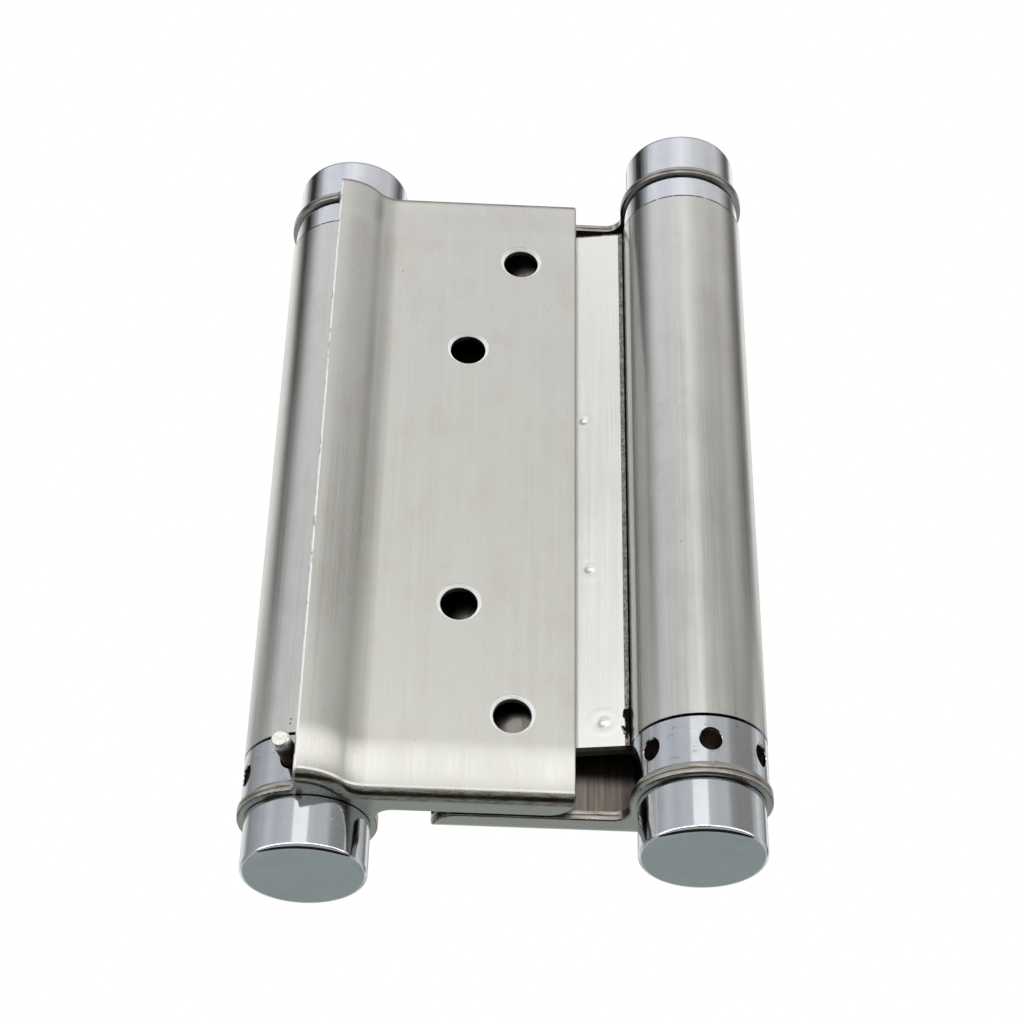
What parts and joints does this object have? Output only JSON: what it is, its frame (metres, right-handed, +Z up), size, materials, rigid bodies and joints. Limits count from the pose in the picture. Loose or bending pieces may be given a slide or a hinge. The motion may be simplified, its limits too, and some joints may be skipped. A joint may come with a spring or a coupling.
{
  "type": "double-action spring hinge",
  "caption": "Double-action spring hinge: coil-sprung barrels joined by a spot-welded web, with folded screw-on leaves, chromed caps and pin-set tension collars.",
  "frame": {"origin": "middle of the hinge, halfway between the two barrel axes and at half the length", "axes": "+Z up along the barrels, X along the leaves from the door barrel to the jamb barrel, -Y out of the front of the door leaf"},
  "size_m": [0.0726, 0.0286, 0.125],
  "materials": {
    "brushed_stainless": "brushed along the length, stainless sheet",
    "chrome_plate": "bright chrome plate",
    "pin_steel": "plain turned steel",
    "spring_steel": "oiled dark spring wire",
    "nylon": "moulded nylon, dark"
  },
  "bodies": {
    "jamb_side": {"jamb_leaf": "brushed_stainless", "jamb_tension_collar": "chrome_plate", "jamb_tension_pin": "pin_steel", "jamb_collar_bush": "nylon", "jamb_washer_bottom": "nylon"},
    "web": {"door_barrel": "brushed_stainless", "door_top_plug": "chrome_plate", "door_spindle": "pin_steel", "door_cap_top": "chrome_plate", "door_cap_bottom": "chrome_plate", "door_spring": "spring_steel", "door_washer_top": "nylon", "jamb_barrel": "brushed_stainless", "jamb_top_plug": "chrome_plate", "jamb_spindle": "pin_steel", "jamb_cap_top": "chrome_plate", "jamb_cap_bottom": "chrome_plate", "jamb_spring": "spring_steel", "jamb_washer_top": "nylon"},
    "door_side": {"door_leaf": "brushed_stainless", "door_tension_collar": "chrome_plate", "door_tension_pin": "pin_steel", "door_collar_bush": "nylon", "door_washer_bottom": "nylon"}
  },
  "joints": [
    {"name": "jamb_pivot", "type": "hinge", "parent": "jamb_side", "child": "web", "pos_m": [0.02661, -0.0046, 0], "axis": [0, 0, 1], "range_deg": [0, 180], "stiffness_Nm_per_rad": 0.8, "springref_deg": -28.65, "deforming": ["jamb_spring"]},
    {"name": "door_pivot", "type": "hinge", "parent": "web", "child": "door_side", "pos_m": [-0.02661, 0.0046, 0], "axis": [0, 0, -1], "range_deg": [0, 180], "stiffness_Nm_per_rad": 0.8, "springref_deg": -28.65, "deforming": ["door_spring"]}
  ]
}
